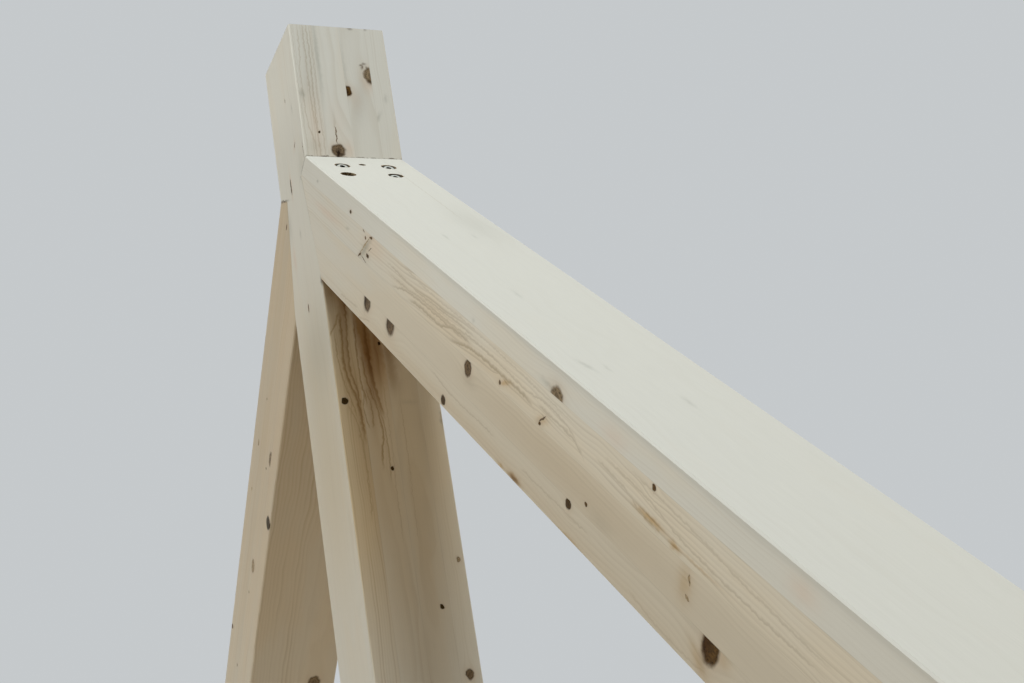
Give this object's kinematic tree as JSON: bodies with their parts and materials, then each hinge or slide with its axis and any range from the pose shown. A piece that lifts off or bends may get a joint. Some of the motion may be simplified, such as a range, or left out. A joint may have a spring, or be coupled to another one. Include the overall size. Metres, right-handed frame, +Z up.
{
  "type": "wooden roof truss",
  "caption": "King-post roof truss of square glued-laminated spruce: tie beam, post with projecting head and rafters in notched, screwed joints.",
  "frame": {"origin": "centre of the tie beam's underside, in the middle of the span and of the thickness", "axes": "+X along the span, +Y through the thickness, +Z up along the king post"},
  "size_m": [6.6, 0.16, 2.9905],
  "materials": {
    "spruce": "planed glued laminated spruce, untreated, with tight knots",
    "screw_steel": "bright zinc plating"
  },
  "bodies": {
    "root": {"tie_beam": "spruce", "king_post": "spruce", "rafter_right": "spruce", "rafter_left": "spruce", "head_screw_right_1": "screw_steel", "head_screw_right_2": "screw_steel", "head_screw_right_3": "screw_steel", "head_screw_right_4": "screw_steel", "head_screw_left_1": "screw_steel", "head_screw_left_2": "screw_steel", "head_screw_left_3": "screw_steel", "head_screw_left_4": "screw_steel", "middle_screw_right": "screw_steel", "middle_screw_left": "screw_steel", "heel_screw_right_1": "screw_steel", "heel_screw_right_2": "screw_steel", "heel_screw_left_1": "screw_steel", "heel_screw_left_2": "screw_steel", "foot_screw_1": "screw_steel", "foot_screw_2": "screw_steel"}
  },
  "joints": []
}
